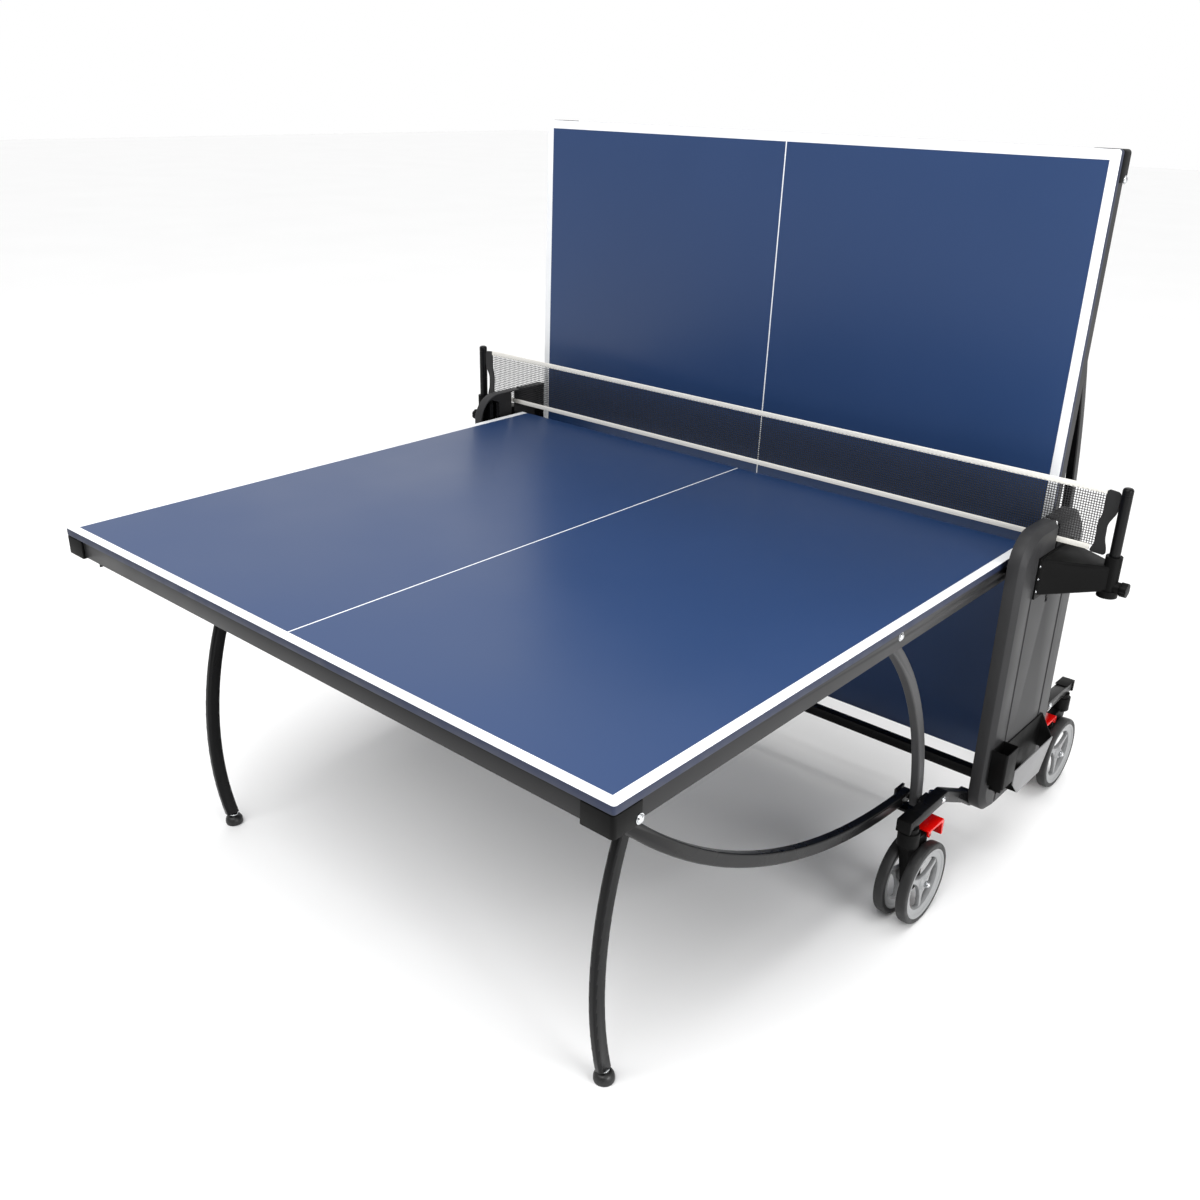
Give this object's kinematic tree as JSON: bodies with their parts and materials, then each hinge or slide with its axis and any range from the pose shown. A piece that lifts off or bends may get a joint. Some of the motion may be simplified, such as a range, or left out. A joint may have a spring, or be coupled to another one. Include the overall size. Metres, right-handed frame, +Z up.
{
  "type": "table tennis table",
  "caption": "Folding table tennis table in playback position, with one half flat, one folded upright, a net on side columns, swivel casters and curved folding legs.",
  "frame": {"origin": "on the floor, at the centre of the whole object", "axes": "+X across the table along the net, +Y from the flat half to the folded half, +Z up"},
  "size_m": [1.942, 1.8294, 1.5453],
  "materials": {
    "board": "satin blue paint",
    "apron_steel": "satin black powder coat",
    "black_steel": "black powder coat",
    "black_plastic": "moulded",
    "rubber_foot": "moulded",
    "tyre": "smooth",
    "rim": "moulded",
    "red_plastic": "moulded",
    "grey_plastic": "moulded",
    "cover_plastic": "fine grain",
    "chrome": "polished",
    "net_mesh": "knitted",
    "white_tape": "woven",
    "black_fabric": "woven"
  },
  "bodies": {
    "chassis": {"side_beam_right": "black_steel", "side_beam_left": "black_steel", "lower_crossbar": "black_steel", "column_cover_right": "cover_plastic", "column_cover_left": "cover_plastic", "guide_tracks": "black_steel", "pivot_yokes": "black_steel", "beam_bolts": "chrome", "beam_end_caps": "black_plastic", "net_arms": "black_plastic", "net_posts": "black_steel", "net_pockets": "black_fabric", "net_mesh": "net_mesh", "net_tape": "white_tape", "net_bottom_cord": "white_tape", "bat_holders": "black_plastic", "bat_holder_fronts": "grey_plastic", "ball_boxes": "black_plastic"},
    "near_carriage": {"near_carriage": "black_steel"},
    "near_top": {"near_board": "board", "near_side_rails": "apron_steel", "near_cross_rails": "apron_steel", "near_corner_protectors": "black_plastic", "near_stay_guides": "black_steel", "near_brackets_and_pins": "black_steel"},
    "near_struts": {"near_struts": "black_steel"},
    "near_stays": {"near_stays": "black_steel"},
    "near_legs": {"near_legs": "black_steel"},
    "near_foot_right": {"near_foot_right": "rubber_foot"},
    "near_foot_left": {"near_foot_left": "rubber_foot"},
    "far_carriage": {"far_carriage": "black_steel"},
    "far_top": {"far_board": "board", "far_side_rails": "apron_steel", "far_cross_rails": "apron_steel", "far_corner_protectors": "black_plastic", "far_stay_guides": "black_steel", "far_brackets_and_pins": "black_steel"},
    "far_struts": {"far_struts": "black_steel"},
    "far_stays": {"far_stays": "black_steel"},
    "far_legs": {"far_legs": "black_steel"},
    "far_foot_right": {"far_foot_right": "rubber_foot"},
    "far_foot_left": {"far_foot_left": "rubber_foot"},
    "net_knob_right": {"net_knob_right": "black_plastic"},
    "net_knob_left": {"net_knob_left": "black_plastic"},
    "caster_near_right": {"caster_near_right_fork": "black_plastic"},
    "caster_near_right_wheelset": {"caster_near_right_wheels": "rim", "caster_near_right_tyres": "tyre"},
    "caster_near_right_brake": {"caster_near_right_pedal": "red_plastic"},
    "caster_near_left": {"caster_near_left_fork": "black_plastic"},
    "caster_near_left_wheelset": {"caster_near_left_wheels": "rim", "caster_near_left_tyres": "tyre"},
    "caster_near_left_brake": {"caster_near_left_pedal": "red_plastic"},
    "caster_far_right": {"caster_far_right_fork": "black_plastic"},
    "caster_far_right_wheelset": {"caster_far_right_wheels": "rim", "caster_far_right_tyres": "tyre"},
    "caster_far_right_brake": {"caster_far_right_pedal": "red_plastic"},
    "caster_far_left": {"caster_far_left_fork": "black_plastic"},
    "caster_far_left_wheelset": {"caster_far_left_wheels": "rim", "caster_far_left_tyres": "tyre"},
    "caster_far_left_brake": {"caster_far_left_pedal": "red_plastic"}
  },
  "joints": [
    {"name": "near_carriage_slide", "type": "slide", "parent": "chassis", "child": "near_carriage", "axis": [0, 0, 1], "range_m": [-0.4475, 0]},
    {"name": "near_fold", "type": "hinge", "parent": "near_carriage", "child": "near_top", "pos_m": [0, 0.35175, 0.726], "axis": [-1, 0, 0], "range_deg": [0, 88.8]},
    {"name": "near_strut_pivot", "type": "hinge", "parent": "near_top", "child": "near_struts", "pos_m": [0, -0.11925, 0.726], "axis": [-1, 0, 0], "range_deg": [-37.84, 0]},
    {"name": "near_stay_pivot", "type": "hinge", "parent": "chassis", "child": "near_stays", "pos_m": [0, 0.13606, 0.254], "axis": [-1, 0, 0], "range_deg": [0, 74.69]},
    {"name": "near_leg_fold", "type": "hinge", "parent": "near_top", "child": "near_legs", "pos_m": [0, -0.57625, 0.718], "axis": [-1, 0, 0], "range_deg": [-97, 0]},
    {"name": "near_foot_right_screw", "type": "slide", "parent": "near_legs", "child": "near_foot_right", "axis": [0, 0, -1], "range_m": [0, 0.012]},
    {"name": "near_foot_left_screw", "type": "slide", "parent": "near_legs", "child": "near_foot_left", "axis": [0, 0, -1], "range_m": [0, 0.012]},
    {"name": "far_carriage_slide", "type": "slide", "parent": "chassis", "child": "far_carriage", "axis": [0, 0, 1], "range_m": [0, 0.4475]},
    {"name": "far_fold", "type": "hinge", "parent": "far_carriage", "child": "far_top", "pos_m": [0, 0.55975, 0.27869], "axis": [-1, 0, 0], "range_deg": [0, 88.8]},
    {"name": "far_strut_pivot", "type": "hinge", "parent": "far_top", "child": "far_struts", "pos_m": [0, 0.56961, 0.74959], "axis": [-1, 0, 0], "range_deg": [-37.84, 0]},
    {"name": "far_stay_pivot", "type": "hinge", "parent": "chassis", "child": "far_stays", "pos_m": [0, 0.77543, 0.254], "axis": [-1, 0, 0], "range_deg": [0, 74.69]},
    {"name": "far_leg_fold", "type": "hinge", "parent": "far_top", "child": "far_legs", "pos_m": [0, 0.58718, 1.20632], "axis": [-1, 0, 0], "range_deg": [-97, 0]},
    {"name": "far_foot_right_screw", "type": "slide", "parent": "far_legs", "child": "far_foot_right", "axis": [0, -0.1426, -0.9898], "range_m": [0, 0.012]},
    {"name": "far_foot_left_screw", "type": "slide", "parent": "far_legs", "child": "far_foot_left", "axis": [0, -0.1426, -0.9898], "range_m": [0, 0.012]},
    {"name": "net_knob_right_turn", "type": "hinge", "parent": "chassis", "child": "net_knob_right", "pos_m": [0.932, 0.45575, 0.712], "axis": [1, 0, 0], "continuous": true},
    {"name": "net_knob_left_turn", "type": "hinge", "parent": "chassis", "child": "net_knob_left", "pos_m": [-0.932, 0.45575, 0.712], "axis": [1, 0, 0], "continuous": true},
    {"name": "caster_near_right_swivel", "type": "hinge", "parent": "chassis", "child": "caster_near_right", "pos_m": [0.76, 0.05075, 0.235], "axis": [0, 0, 1], "continuous": true},
    {"name": "caster_near_right_spin", "type": "hinge", "parent": "caster_near_right", "child": "caster_near_right_wheelset", "pos_m": [0.76, 0.08975, 0.093], "axis": [1, 0, 0], "continuous": true},
    {"name": "caster_near_right_brake_press", "type": "hinge", "parent": "caster_near_right", "child": "caster_near_right_brake", "pos_m": [0.76, 0.11775, 0.194], "axis": [-1, 0, 0], "range_deg": [0, 14]},
    {"name": "caster_near_left_swivel", "type": "hinge", "parent": "chassis", "child": "caster_near_left", "pos_m": [-0.76, 0.05075, 0.235], "axis": [0, 0, 1], "continuous": true},
    {"name": "caster_near_left_spin", "type": "hinge", "parent": "caster_near_left", "child": "caster_near_left_wheelset", "pos_m": [-0.76, 0.08975, 0.093], "axis": [1, 0, 0], "continuous": true},
    {"name": "caster_near_left_brake_press", "type": "hinge", "parent": "caster_near_left", "child": "caster_near_left_brake", "pos_m": [-0.76, 0.11775, 0.194], "axis": [-1, 0, 0], "range_deg": [0, 14]},
    {"name": "caster_far_right_swivel", "type": "hinge", "parent": "chassis", "child": "caster_far_right", "pos_m": [0.76, 0.86075, 0.235], "axis": [0, 0, 1], "continuous": true},
    {"name": "caster_far_right_spin", "type": "hinge", "parent": "caster_far_right", "child": "caster_far_right_wheelset", "pos_m": [0.76, 0.82175, 0.093], "axis": [1, 0, 0], "continuous": true},
    {"name": "caster_far_right_brake_press", "type": "hinge", "parent": "caster_far_right", "child": "caster_far_right_brake", "pos_m": [0.76, 0.79375, 0.194], "axis": [1, 0, 0], "range_deg": [0, 14]},
    {"name": "caster_far_left_swivel", "type": "hinge", "parent": "chassis", "child": "caster_far_left", "pos_m": [-0.76, 0.86075, 0.235], "axis": [0, 0, 1], "continuous": true},
    {"name": "caster_far_left_spin", "type": "hinge", "parent": "caster_far_left", "child": "caster_far_left_wheelset", "pos_m": [-0.76, 0.82175, 0.093], "axis": [1, 0, 0], "continuous": true},
    {"name": "caster_far_left_brake_press", "type": "hinge", "parent": "caster_far_left", "child": "caster_far_left_brake", "pos_m": [-0.76, 0.79375, 0.194], "axis": [1, 0, 0], "range_deg": [0, 14]}
  ],
  "couplings": [
    {"joint": "near_carriage_slide", "follows": "near_fold", "m_per_rad": -0.28861},
    {"joint": "near_strut_pivot", "follows": "near_fold", "ratio": -0.42609},
    {"joint": "near_stay_pivot", "follows": "near_fold", "ratio": 0.84107},
    {"joint": "near_leg_fold", "follows": "near_fold", "ratio": -1.0923},
    {"joint": "far_carriage_slide", "follows": "far_fold", "m_per_rad": 0.28861},
    {"joint": "far_strut_pivot", "follows": "far_fold", "ratio": -0.42609},
    {"joint": "far_stay_pivot", "follows": "far_fold", "ratio": 0.84107},
    {"joint": "far_leg_fold", "follows": "far_fold", "ratio": -1.0923}
  ]
}
